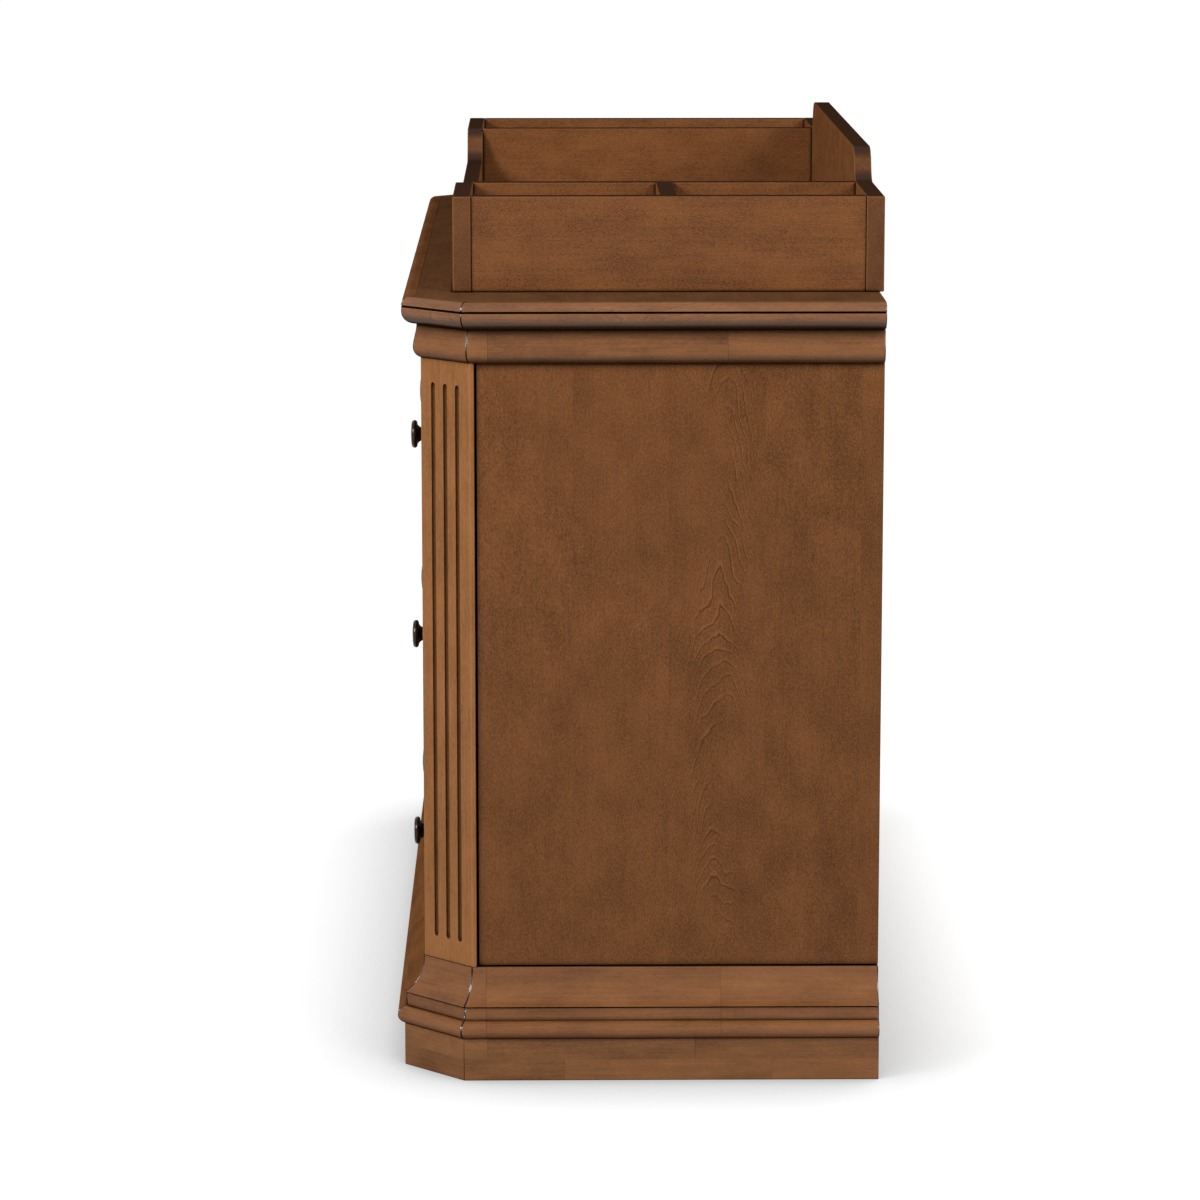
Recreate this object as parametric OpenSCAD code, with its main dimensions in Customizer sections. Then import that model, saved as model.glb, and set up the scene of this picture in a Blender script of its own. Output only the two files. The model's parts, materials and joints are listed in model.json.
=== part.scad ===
// Double dresser: six drawers on telescopic runners, canted corner posts with stopped flutes,
// mitred crown and base mouldings, and a lift-off tray standing on the top.
// Millimetres. +Z is up, -Y is the front. The origin is the middle of the footprint on the floor.

/* [Case] */
// Width over the side faces of the corner posts
case_w = 1320; // [1200:10:1500]
// Depth from the front faces of the posts to the back
case_d = 504.5; // [490:0.5:600]
// Height from the floor to the top surface
body_h = 865.5; // [840:0.5:960]
// Run of the canted corner along the side and along the front
cant = 54; // [46:1:62]
// Flat return beside the cant on each face of a post
post_return = 5; // [3:0.5:8]
// Thickness of the shell: post legs and the boards of the upper and lower frames
shell_t = 22; // [20:1:24]
// Set-back of the side panel behind the side face of the post
panel_recess = 4; // [2:0.5:6]
// Width of the shadow groove between post and side panel
shadow_w = 2.5; // [1.5:0.5:4]
// Depth of the shadow groove into the edge of the side panel
shadow_d = 6; // [3:0.5:9]
// Height of the dark gap between each side panel and the base moulding
sill_gap = 1.5; // [1:0.5:3]
// Thickness of the back panel
back_t = 6; // [4:1:9]
// Thickness of the bottom panel
bottom_t = 15; // [12:1:18]
// Thickness of the centre partition
partition_t = 18; // [15:1:24]
// Thickness of the rear rails and of the cleats under the top
cleat_t = 20; // [16:1:25]

/* [Top] */
// Thickness of the top
top_t = 30; // [28:0.5:36]
// Overhang of the top beyond the faces of the posts
top_out = 20.7; // [16:0.1:28]
// Width of the solid edging round the top
edging_w = 16; // [16:1:40]
// Radius of the round under the edge of the top
edge_low_r = 14; // [10:0.5:15]
// Radius of the round on the upper edge of the top
edge_high_r = 9.5; // [5:0.5:10]
// Width of the groove between the two rounds
quirk_w = 2.2; // [1:0.1:2.5]
// Depth of the groove between the two rounds
quirk_d = 3; // [1.5:0.1:4]

/* [Mouldings] */
// Height of the crown moulding under the top
crown_h = 37.5; // [32:0.5:45]
// Projection of the crown moulding at its widest
crown_out = 8.3; // [7:0.1:11]
// Projection of the crown moulding at its top edge
crown_top_out = 4.2; // [3:0.1:6]
// Radius of the round under the crown moulding
crown_r = 12; // [11:0.5:14]
// Height of the plinth boards
plinth_h = 48; // [40:1:60]
// Thickness of the plinth boards, which stand against the lower frame
plinth_t = 22.5; // [18:0.5:24]
// Height of the torus above the plinth
torus_h = 20; // [16:1:22]
// Projection of the torus
torus_out = 30.5; // [28:0.5:34]
// Height of the flat band above the torus
fascia_h = 14.5; // [10:0.5:18]
// Projection of the flat band
fascia_out = 20; // [18:0.5:23]
// Height of the dark groove under the cove
cove_quirk_h = 1.5; // [1:0.1:2.5]
// Height of the cove
cove_h = 39.5; // [36:0.5:41]
// Radius of the hollow of the cove
cove_r = 40; // [38:1:46]
// Height of the upright lip above the hollow
cove_lip_h = 4; // [3:0.5:6]
// Projection of the upright lip
cove_lip_out = 1; // [0.5:0.1:2]

/* [Flutes] */
// Width of a flute, which is twice its depth
flute_w = 6.2; // [4:0.1:8]
// Distance from flute to flute
flute_pitch = 18.8; // [14:0.1:20]
// Plain length of the post above and below the flutes
flute_margin = 26; // [15:1:60]

/* [Front] */
// Set-back of the drawer fronts and face frame behind the posts
face_recess = 10; // [6:0.5:12]
// Thickness of the face frame
frame_t = 20; // [18:0.5:24]
// Width of the stile between the two columns of drawers
centre_stile_w = 36; // [30:1:50]
// Width of the stile beside each post
side_stile_w = 12; // [8:1:20]
// Height of the rails between the drawers
mid_rail_h = 28; // [20:1:36]
// Height of the lowest rail
low_rail_h = 14; // [8:1:24]
// Height of the highest rail
high_rail_h = 3; // [2:0.5:10]

/* [Drawers] */
// Thickness of a drawer front
front_t = 20; // [18:0.5:22]
// Gap round a drawer front
front_gap = 2; // [1.5:0.1:3]
// Height of a drawer box
box_h = 150; // [120:1:160]
// Length of a drawer box behind its front
box_d = 440; // [410:1:442]
// Thickness of the drawer sides
box_t = 12; // [11:0.5:15]
// Thickness of the drawer bottom
box_bottom_t = 6; // [4:0.5:8]
// Height of the groove for the drawer bottom above the lower edge of the sides
groove_z = 12; // [8:1:16]
// Depth of the groove for the drawer bottom
groove_d = 6; // [4:0.5:8]
// Number of dovetails at each corner of a drawer box
tail_count = 4; // [3:1:5]
// Slope of the dovetails
tail_slope = 8; // [6:0.5:12]

/* [Runners] */
// Length of the telescopic runners
runner_l = 400; // [350:1:405]
// Height of the outer member
runner_h = 45; // [40:1:50]
// Space between the case and the drawer side that a runner fills
runner_w = 12.7; // [12:0.1:13.5]
// Thickness of the runner's sheet steel
sheet_t = 1.2; // [1:0.1:1.5]
// Play between the members, where the balls run
runner_gap = 0.5; // [0.4:0.05:0.7]
// Set-back of the runners behind the face frame
runner_inset = 4; // [2:0.5:10]
// Height of the timber runner cleats
cleat_h = 56; // [50:1:70]

/* [Knobs] */
// Diameter of a knob
knob_d = 31.5; // [26:0.5:36]
// Projection of a knob from its drawer front
knob_l = 25; // [22:0.5:30]
// Distance of each knob from the middle of its drawer
knob_x = 184; // [100:1:220]
// Height of the knobs above the middle of their drawer
knob_rise = 1.5; // [0:0.5:20]
// Diameter of the knob screw
screw_d = 4; // [3.5:0.5:5]
// Play of the knob screw in its hole, on the diameter
screw_play = 1; // [0.5:0.1:1.5]

/* [Tray] */
// Length of the tray
tray_w = 1200; // [1000:5:1240]
// Depth of the tray over its rails
tray_d = 474; // [430:1:480]
// How far the tray stands out behind the case
tray_over = 4.5; // [0:0.5:8]
// How far the tray stands to the left of the middle
tray_shift = 25; // [0:1:30]
// Thickness of the tray boards
tray_t = 20; // [16:0.5:24]
// Height of the tray at its ends
tray_h = 105; // [85:1:130]
// Rise of the back rail above the ends, in the middle
back_rise = 37; // [20:1:50]
// Dip of the front rail below the ends, in the middle
front_dip = 40; // [20:1:50]
// Set-back of the end boards behind the ends of the rails
end_inset = 2; // [1:0.5:4]
// Distance from an end of the tray to the outer face of its partition
cell_w = 177; // [140:1:230]
// Length of each S-curve of the rails
curve_w = 55; // [45:1:80]
// Distance from the outer face of a partition to the start of the S-curve
curve_start = 6; // [2:1:20]

/* [Hidden] */

ROWS = ["bottom", "middle", "top"];
SIDES = ["left", "right"];

wood = "#8a5632";
panel_wood = "#73482a";
inner_wood = "#c9a06c";
bronze = "#1d1917";
steel = "#9a9da0";

$fn = 64;
eps = 1;
// Thickness of the glue in the mitres and box joints
glue_line = 0.1;

// Places in plan
foot_d = torus_out + case_d + tray_over;
front_y = torus_out - foot_d / 2;
back_y = front_y + case_d;
side_x = case_w / 2;
inner_x = side_x - shell_t;
post_inner_x = side_x - cant - post_return;
post_end_y = front_y + cant + post_return;
face_y = front_y + face_recess;
frame_back_y = face_y + frame_t;
inner_back_y = back_y - back_t;
opening_in = centre_stile_w / 2;
opening_out = post_inner_x - side_stile_w;

// Heights
crown_top = body_h - top_t;
crown_bottom = crown_top - crown_h;
base_top = plinth_h + torus_h + fascia_h + cove_quirk_h + cove_h;
front_h = crown_bottom - base_top;
opening_h = (front_h - low_rail_h - high_rail_h - 2 * mid_rail_h) / 3;

// A 45 degree corner turns a moulding by this much of its projection
mitre = tan(22.5);
// Turn of the outward direction of each wall: right side, right cant, front, left cant, left side
wall_turn = [0, -45, -90, -135, 180];
// Reach of the mitre cuts inside and outside the walls
mitre_reach = 60;

function row_z(row) = base_top + low_rail_h + row * (opening_h + mid_rail_h);
function middle_z(row) = row_z(row) + opening_h / 2;

// The case outline moved outwards by some distance, open at the back
function half_outline(out, y_back) = [
    [side_x + out, y_back],
    [side_x + out, front_y + cant - out * mitre],
    [side_x - cant + out * mitre, front_y - out],
];
function mirrored(points) = [for (i = [len(points) - 1:-1:0]) [-points[i][0], points[i][1]]];
function outline(out, y_back) =
    concat(half_outline(out, y_back), mirrored(half_outline(out, y_back)));

// Points along an arc
function arc(centre, r, from, to, steps = 12) =
    [for (i = [0:steps]) let (a = from + (to - from) * i / steps) centre + r * [cos(a), sin(a)]];

// Five lengths of one section, mitred where they meet and square at the back.
// In the section x points outwards from the faces of the posts and y is the height.
module mitred_run() {
    inner = outline(-mitre_reach, back_y);
    outer = outline(mitre_reach, back_y);
    walls = outline(0, back_y);
    for (i = [0:4]) {
        along = (walls[i + 1] - walls[i]) / norm(walls[i + 1] - walls[i]);
        start = i == 0 ? [0, 0] : along * glue_line / 2;
        end = i == 4 ? [0, 0] : -along * glue_line / 2;
        intersection() {
            translate((walls[i] + walls[i + 1]) / 2)
                rotate([0, 0, wall_turn[i]])
                    rotate([90, 0, 0])
                        linear_extrude(case_w + case_d, center = true)
                            children();
            linear_extrude(body_h + eps)
                polygon([inner[i] + start, inner[i + 1] + end, outer[i + 1] + end, outer[i] + start]);
        }
    }
}

// A block given by its lowest and highest corners
module block(low, high) {
    translate(low)
        cube(high - low);
}

// The same block on both sides of the middle
module block_pair(low, high) {
    block(low, high);
    mirror([1, 0, 0])
        block(low, high);
}

module on_side(side) {
    if (side == 0)
        mirror([1, 0, 0])
            children();
    else
        children();
}

// Top

module top_edge_section() {
    out = top_out;
    groove_low = body_h - edge_high_r - quirk_w;
    polygon(concat(
        [[out - edging_w, crown_top]],
        arc([out - edge_low_r, crown_top + edge_low_r], edge_low_r, -90, 0),
        [[out, groove_low], [out - quirk_d, groove_low]],
        [[out - quirk_d, groove_low + quirk_w]],
        arc([out - edge_high_r, body_h - edge_high_r], edge_high_r, 0, 90),
        [[out - edging_w, body_h]]
    ));
}

module top_edging() {
    color(wood)
        mitred_run()
            top_edge_section();
}

module top_panel() {
    color(wood)
        translate([0, 0, crown_top])
            linear_extrude(top_t)
                polygon(outline(top_out - edging_w, back_y));
}

// Mouldings

// Rounded under, widest low down, then an ogee back to its top edge
module crown_section() {
    under = acos((crown_r - crown_out) / crown_r);
    widest_z = crown_bottom + crown_r * sin(under);
    ogee_h = crown_top - widest_z;
    steps = 10;
    polygon(concat(
        arc([crown_out - crown_r, widest_z], crown_r, -under, 0),
        [for (i = [1:steps])
            [crown_top_out + (crown_out - crown_top_out) * (1 + cos(180 * i / steps)) / 2,
             widest_z + ogee_h * i / steps]],
        [[0, crown_top]]
    ));
}

module crown_moulding() {
    color(wood)
        mitred_run()
            crown_section();
}

// From the plinth upwards: torus, flat band, groove, hollow cove and upright lip
module base_section() {
    torus_r = torus_h / 2;
    fascia_top = plinth_h + torus_h + fascia_h;
    cove_z = base_top - cove_h;
    hollow_z = base_top - cove_lip_h;
    hollow_x = cove_lip_out + cove_r;
    sweep = asin((hollow_z - cove_z) / cove_r);
    polygon(concat(
        [[0, plinth_h]],
        arc([torus_out - torus_r, plinth_h + torus_r], torus_r, -90, 90),
        [[fascia_out, plinth_h + torus_h], [fascia_out, fascia_top]],
        [[fascia_out - quirk_d, fascia_top], [fascia_out - quirk_d, cove_z]],
        arc([hollow_x, hollow_z], cove_r, 180 + sweep, 180),
        [[cove_lip_out, base_top], [0, base_top]]
    ));
}

module base_moulding() {
    color(wood)
        mitred_run()
            base_section();
}

module plinth_boards() {
    color(wood)
        mitred_run()
            square([plinth_t, plinth_h]);
}

// Frames behind the mouldings

module upper_frame() {
    color(inner_wood)
        mitred_run()
            translate([-shell_t, crown_bottom])
                square([shell_t, crown_h]);
}

module lower_frame() {
    color(inner_wood)
        mitred_run()
            translate([-shell_t, 0])
                square([shell_t, base_top]);
}

module upper_rear_rail() {
    color(inner_wood)
        block([-inner_x, inner_back_y - cleat_t, crown_bottom], [inner_x, inner_back_y, crown_top]);
}

module lower_rear_rail() {
    color(inner_wood)
        block([-inner_x, inner_back_y - cleat_t, 0], [inner_x, inner_back_y, base_top - bottom_t]);
}

// Cleats for the screws that hold the top: one along each side and one in the middle
module top_cleats() {
    front = front_y + cant + shell_t * mitre;
    color(inner_wood) {
        block_pair([inner_x - cleat_t, front, crown_bottom],
                   [inner_x, inner_back_y - cleat_t, crown_top]);
        block([-cleat_t, front_y + shell_t, crown_bottom],
              [cleat_t, inner_back_y - cleat_t, crown_top]);
    }
}

// Blocks glued under the bottom panel, against the front board and the rear rail
module glue_blocks() {
    block_w = 60;
    block_d = 30;
    block_h = 60;
    top_z = base_top - bottom_t;
    spread = case_w / 3;
    color(inner_wood)
        for (x = [-spread, 0, spread]) {
            block([x - block_w / 2, front_y + shell_t, top_z - block_h],
                  [x + block_w / 2, front_y + shell_t + block_d, top_z]);
            block([x - block_w / 2, inner_back_y - cleat_t - block_d, top_z - block_h],
                  [x + block_w / 2, inner_back_y - cleat_t, top_z]);
        }
}

// Case

module side_panel(side) {
    color(panel_wood)
        on_side(side)
            difference() {
                block([inner_x, post_end_y, base_top],
                      [side_x - panel_recess, back_y, crown_bottom]);
                block([side_x - panel_recess - shadow_d, post_end_y - eps, base_top - eps],
                      [side_x, post_end_y + shadow_w, crown_bottom + eps]);
                block([side_x - panel_recess - shadow_d, post_end_y - eps, base_top - eps],
                      [side_x, back_y + eps, base_top + sill_gap]);
            }
}

module stopped_flute() {
    r = flute_w / 2;
    low = base_top + flute_margin + r;
    high = crown_bottom - flute_margin - r;
    translate([0, 0, low])
        cylinder(r = r, h = high - low);
    translate([0, 0, low])
        sphere(r);
    translate([0, 0, high])
        sphere(r);
}

module corner_post(side) {
    plan = [
        [side_x, post_end_y],
        [side_x, front_y + cant],
        [side_x - cant, front_y],
        [post_inner_x, front_y],
        [post_inner_x, front_y + shell_t],
        [inner_x, post_end_y],
    ];
    color(wood)
        on_side(side)
            difference() {
                translate([0, 0, base_top])
                    linear_extrude(front_h)
                        polygon(plan);
                for (k = [-1:1])
                    translate([side_x - cant / 2, front_y + cant / 2, 0])
                        rotate([0, 0, 45])
                            translate([k * flute_pitch, 0, 0])
                                stopped_flute();
            }
}

// The stile beside each post and the one between the columns
module face_stiles() {
    color(wood) {
        block_pair([opening_out, face_y, base_top], [post_inner_x, frame_back_y, crown_bottom]);
        block([-opening_in, face_y, base_top], [opening_in, frame_back_y, crown_bottom]);
    }
}

module drawer_rails() {
    low = concat([base_top], [for (row = [0:1]) row_z(row) + opening_h], [crown_bottom - high_rail_h]);
    high = concat([for (row = [0:2]) row_z(row)], [crown_bottom]);
    color(wood)
        for (i = [0:3])
            block_pair([opening_in, face_y, low[i]], [opening_out, frame_back_y, high[i]]);
}

module centre_partition() {
    color(inner_wood)
        block([-partition_t / 2, frame_back_y, base_top],
              [partition_t / 2, inner_back_y, crown_bottom]);
}

module back_panel() {
    lap = 40;
    color(inner_wood)
        block([-inner_x, inner_back_y, base_top - bottom_t - lap], [inner_x, back_y, crown_top]);
}

module bottom_panel() {
    color(inner_wood)
        translate([0, 0, base_top - bottom_t])
            linear_extrude(bottom_t)
                polygon(outline(-shell_t, inner_back_y));
}

// Timber that brings each runner out to the edge of its opening. The outer ones are notched
// round the corner posts.
module runner_cleats() {
    color(inner_wood)
        for (row = [0:2]) {
            low_z = middle_z(row) - cleat_h / 2;
            high_z = middle_z(row) + cleat_h / 2;
            difference() {
                block_pair([opening_out, frame_back_y, low_z], [inner_x, inner_back_y, high_z]);
                block_pair([post_inner_x, frame_back_y - eps, low_z - eps],
                           [inner_x + eps, post_end_y, high_z + eps]);
            }
            block_pair([partition_t / 2, frame_back_y, low_z], [opening_in, inner_back_y, high_z]);
        }
}

// Telescopic runners. In these sections x runs from the case to the drawer.

// A channel of sheet steel with its web at x = 0
module channel(depth, height) {
    difference() {
        translate([0, -height / 2])
            square([depth, height]);
        translate([sheet_t, sheet_t - height / 2])
            square([depth, height - 2 * sheet_t]);
    }
}

member_step = sheet_t + runner_gap;
member_depth = runner_w - sheet_t;

module case_member_section() {
    channel(member_depth, runner_h);
}

module middle_member_section() {
    translate([member_step, 0])
        channel(member_depth - member_step, runner_h - 2 * member_step);
}

module drawer_member_section() {
    translate([runner_w, 0])
        mirror([1, 0])
            channel(runner_w - 2 * member_step, runner_h - 4 * member_step);
}

// One section along both sides of a drawer
module runner_pair(row, side) {
    end_y = frame_back_y + runner_inset + runner_l;
    color(steel)
        on_side(side) {
            translate([opening_in, end_y, middle_z(row)])
                rotate([90, 0, 0])
                    linear_extrude(runner_l)
                        children();
            translate([opening_out, end_y, middle_z(row)])
                mirror([1, 0, 0])
                    rotate([90, 0, 0])
                        linear_extrude(runner_l)
                            children();
        }
}

module runner_case_members() {
    for (row = [0:2], side = [0:1])
        runner_pair(row, side)
            case_member_section();
}

module runner_middles(row, side) {
    runner_pair(row, side)
        middle_member_section();
}

module runner_drawer_members(row, side) {
    runner_pair(row, side)
        drawer_member_section();
}

// Drawers

module knob_places(row) {
    for (k = [-1, 1])
        translate([(opening_in + opening_out) / 2 + k * knob_x, face_y, middle_z(row) + knob_rise])
            rotate([90, 0, 0])
                children();
}

module knob_holes(row) {
    knob_places(row)
        translate([0, 0, -front_t - box_t - eps])
            cylinder(d = screw_d + screw_play, h = front_t + box_t + 2 * eps);
}

module drawer_front(row, side) {
    color(wood)
        on_side(side)
            difference() {
                block([opening_in + front_gap, face_y, row_z(row) + front_gap],
                      [opening_out - front_gap, face_y + front_t, row_z(row) + opening_h - front_gap]);
                knob_holes(row);
            }
}

// Side board of a drawer box seen from the side, with tails at both ends. play widens it into
// the hole that it leaves in the end boards.
module tailed_board(play = 0) {
    pitch = box_h / tail_count;
    wide = pitch / 3 + play;
    narrow = wide - box_t * tan(tail_slope);
    over = play > 0 ? eps : 0;
    translate([box_t - play, -over])
        square([box_d - 2 * (box_t - play), box_h + 2 * over]);
    for (i = [0:tail_count - 1], end = [0:1])
        translate([end * box_d, (i + 0.5) * pitch])
            mirror([end, 0])
                polygon([[-over, wide], [0, wide], [box_t, narrow],
                         [box_t, -narrow], [0, -wide], [-over, -wide]]);
}

// Stands a side view of the box up between two places across it
module between(x0, x1, y0, z0) {
    translate([x0, y0, z0])
        rotate([90, 0, 90])
            linear_extrude(x1 - x0)
                children();
}

// Two side boards dovetailed to two end boards, with a bottom let into grooves all round
module drawer_box(row, side) {
    x0 = opening_in + runner_w;
    x1 = opening_out - runner_w;
    y0 = face_y + front_t;
    y1 = y0 + box_d;
    z0 = middle_z(row) - box_h / 2;
    z1 = z0 + box_h;
    reach = box_t - groove_d;
    groove_low = [x0 + reach, y0 + reach, z0 + groove_z];
    groove_high = [x1 - reach, y1 - reach, z0 + groove_z + box_bottom_t];
    play = [glue_line, glue_line, glue_line];
    color(inner_wood)
        on_side(side) {
            difference() {
                union() {
                    between(x0, x0 + box_t, y0, z0)
                        tailed_board();
                    between(x1 - box_t, x1, y0, z0)
                        tailed_board();
                    difference() {
                        union() {
                            block([x0, y0, z0], [x1, y0 + box_t, z1]);
                            block([x0, y1 - box_t, z0], [x1, y1, z1]);
                        }
                        between(x0 - eps, x0 + box_t + glue_line, y0, z0)
                            tailed_board(glue_line);
                        between(x1 - box_t - glue_line, x1 + eps, y0, z0)
                            tailed_board(glue_line);
                    }
                }
                block(groove_low, groove_high);
                knob_holes(row);
            }
            block(groove_low + play, groove_high - play);
        }
}

// Half outline of a knob: a low foot, a waist that opens in a hollow under the head, and a thick
// head with a round rim and an almost flat face
module knob_section() {
    r = knob_d / 2;
    foot_r = 0.53 * r;
    waist_r = 0.42 * r;
    face_r = 0.8 * r;
    dome = 1;
    rim_h = 0.21 * r;
    foot_h = 1.5;
    waist_z = 0.32 * knob_l;
    under_z = knob_l - dome - 2 * rim_h;
    polygon(concat(
        [[0, 0], [foot_r, 0], [foot_r, foot_h]],
        [for (a = [15:15:90]) [foot_r - (foot_r - waist_r) * sin(a),
                               foot_h + (waist_z - foot_h) * (1 - cos(a))]],
        [for (a = [15:15:90]) [waist_r + (face_r - waist_r) * (1 - cos(a)),
                               waist_z + (under_z - waist_z) * sin(a)]],
        [for (a = [-75:15:90]) [face_r + (r - face_r) * cos(a), under_z + rim_h * (1 + sin(a))]],
        [for (i = [7:-1:0]) [face_r * i / 8, knob_l - dome * pow(i / 8, 2)]]
    ));
}

// Two knobs, each with the screw that comes through the front from inside the drawer
module knobs(row, side) {
    screw_l = front_t + box_t;
    head_h = 2.5;
    color(bronze)
        on_side(side)
            knob_places(row) {
                rotate_extrude()
                    knob_section();
                translate([0, 0, -screw_l - head_h])
                    cylinder(d = 2.2 * screw_d, h = head_h);
                translate([0, 0, -screw_l - eps])
                    cylinder(d = screw_d, h = screw_l + 2 * eps);
            }
}

// Tray

tray_x0 = -tray_shift - tray_w / 2;
tray_x1 = -tray_shift + tray_w / 2;
tray_y1 = back_y + tray_over;
tray_y0 = tray_y1 - tray_d;

// Points of an S-curve from the origin to [run, rise]: two equal arcs that meet in the middle
function s_curve(run, rise, steps = 10) =
    let (bend = 2 * atan(abs(rise) / run), r = run / (2 * sin(bend)), s = sign(rise))
    concat(
        [for (i = [0:steps]) let (a = bend * i / steps) [r * sin(a), s * r * (1 - cos(a))]],
        [for (i = [steps - 1:-1:0]) let (a = bend * i / steps) [run - r * sin(a), rise - s * r * (1 - cos(a))]]
    );

// Half of a rail from the middle to its end, which the other half mirrors
module tray_rail(middle_step) {
    start = tray_w / 2 - cell_w - curve_start;
    right = concat(
        [[tray_w / 2, 0], [tray_w / 2, tray_h]],
        [for (p = s_curve(curve_w, middle_step)) [start - p[0], tray_h + p[1]]]
    );
    color(wood)
        translate([-tray_shift, tray_t, body_h])
            rotate([90, 0, 0])
                linear_extrude(tray_t)
                    polygon(concat(right, mirrored(right)));
}

module tray_front_rail() {
    translate([0, tray_y0, 0])
        tray_rail(-front_dip);
}

module tray_back_rail() {
    translate([0, tray_y1 - tray_t, 0])
        tray_rail(back_rise);
}

// A cross board of the tray between x0 and x1
module tray_cross_board(x0, x1) {
    block([x0, tray_y0 + tray_t, body_h], [x1, tray_y1 - tray_t, body_h + tray_h]);
}

module tray_end_boards() {
    color(wood) {
        tray_cross_board(tray_x0 + end_inset, tray_x0 + end_inset + tray_t);
        tray_cross_board(tray_x1 - end_inset - tray_t, tray_x1 - end_inset);
    }
}

module tray_partitions() {
    color(wood) {
        tray_cross_board(tray_x0 + cell_w, tray_x0 + cell_w + tray_t);
        tray_cross_board(tray_x1 - cell_w - tray_t, tray_x1 - cell_w);
    }
}

module tray_divider() {
    middle_y = (tray_y0 + tray_y1) / 2;
    color(wood)
        block([tray_x1 - cell_w, middle_y - tray_t / 2, body_h],
              [tray_x1 - end_inset - tray_t, middle_y + tray_t / 2, body_h + tray_h]);
}

top_panel();
top_edging();
crown_moulding();
upper_frame();
upper_rear_rail();
top_cleats();
side_panel(0);  // side_panel_left
side_panel(1);  // side_panel_right
corner_post(0);  // corner_post_left
corner_post(1);  // corner_post_right
face_stiles();
drawer_rails();
centre_partition();
back_panel();
bottom_panel();
lower_frame();
lower_rear_rail();
glue_blocks();
base_moulding();
plinth_boards();
runner_cleats();
runner_case_members();
for (row = [0:2], side = [0:1]) {
    place = str("_", ROWS[row], "_", SIDES[side]);
    drawer_front(row, side);
    drawer_box(row, side);
    knobs(row, side);
    runner_middles(row, side);
    runner_drawer_members(row, side);
}
tray_front_rail();
tray_back_rail();
tray_end_boards();
tray_partitions();
tray_divider();
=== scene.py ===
"""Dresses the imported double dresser: boards with grain of their own, turned knobs and a plain studio.

Every board is cut from its CAD node's solids, so it stays where the frame has it, and gets eased
arrises and grain along its length. Lengths are in metres unless a name ends in _mm.
"""

import json
import logging
import math
import random
from dataclasses import dataclass, replace
from enum import Enum
from functools import partial
from typing import Callable, Iterable, Protocol

import bmesh
import bpy
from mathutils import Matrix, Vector

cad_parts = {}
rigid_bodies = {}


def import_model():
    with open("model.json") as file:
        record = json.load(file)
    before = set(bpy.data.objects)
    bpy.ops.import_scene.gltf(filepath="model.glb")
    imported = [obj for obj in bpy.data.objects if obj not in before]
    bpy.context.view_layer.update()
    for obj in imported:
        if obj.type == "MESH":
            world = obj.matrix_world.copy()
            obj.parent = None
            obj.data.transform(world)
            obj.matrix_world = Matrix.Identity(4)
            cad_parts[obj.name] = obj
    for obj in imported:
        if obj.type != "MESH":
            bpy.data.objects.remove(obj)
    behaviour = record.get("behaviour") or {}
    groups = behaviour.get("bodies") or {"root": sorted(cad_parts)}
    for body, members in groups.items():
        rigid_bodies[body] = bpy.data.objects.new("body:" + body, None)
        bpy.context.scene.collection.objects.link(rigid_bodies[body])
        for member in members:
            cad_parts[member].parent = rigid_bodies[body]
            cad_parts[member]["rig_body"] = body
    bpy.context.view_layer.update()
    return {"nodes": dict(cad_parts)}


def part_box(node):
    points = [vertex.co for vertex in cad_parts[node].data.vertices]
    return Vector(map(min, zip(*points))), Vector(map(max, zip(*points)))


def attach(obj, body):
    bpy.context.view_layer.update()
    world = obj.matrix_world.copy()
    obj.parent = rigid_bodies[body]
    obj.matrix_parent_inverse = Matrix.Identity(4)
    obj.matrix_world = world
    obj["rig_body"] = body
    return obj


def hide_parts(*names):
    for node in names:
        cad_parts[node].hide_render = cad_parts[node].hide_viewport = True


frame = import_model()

LOG = logging.getLogger("dresser")
MM = 0.001
# Corners closer than this are one corner.
WELD = 2e-6
# Directions whose upward share is above this are upright.
UPRIGHT = 0.9
ROWS = ("top", "middle", "bottom")
SIDES = ("left", "right")

# What the shader helpers take and give.
Socket = bpy.types.NodeSocket
Outputs = bpy.types.bpy_prop_collection
Adder = Callable[..., Outputs]


# Helpers

def linear(hex_colour: str) -> tuple[float, float, float, float]:
    """Turns an sRGB hex colour into linear light.

    Args:
        hex_colour: six hex digits after a #.

    Returns:
        Red, green, blue and an alpha of 1.
    """
    shares = [int(hex_colour[i:i + 2], 16) / 255 for i in (1, 3, 5)]
    light = [c / 12.92 if c <= 0.04045 else ((c + 0.055) / 1.055) ** 2.4 for c in shares]
    return (light[0], light[1], light[2], 1.0)


def add_node(tree: bpy.types.NodeTree, kind: str, inputs: tuple | dict = (), **settings) -> Outputs:
    """Adds a shader node with its settings and links.

    Args:
        tree: the material's or world's node tree.
        kind: the node's type, without the leading ShaderNode.
        inputs: values, or the output sockets that feed them, for the first sockets in order, or a dict
            of them by socket name or number.
        settings: the node's own properties.

    Returns:
        The new node's outputs.
    """
    made = tree.nodes.new("ShaderNode" + kind)
    for key, value in settings.items():
        setattr(made, key, value)
    for key, value in inputs.items() if isinstance(inputs, dict) else enumerate(inputs):
        if isinstance(value, Socket):
            tree.links.new(value, made.inputs[key])
        else:
            made.inputs[key].default_value = value
    return made.outputs


def per_mm(*lengths_mm: float) -> tuple[float, ...]:
    """Turns pattern sizes in mm into texture scales for coordinates in metres."""
    return tuple(1 / (length * MM) for length in lengths_mm)


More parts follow.
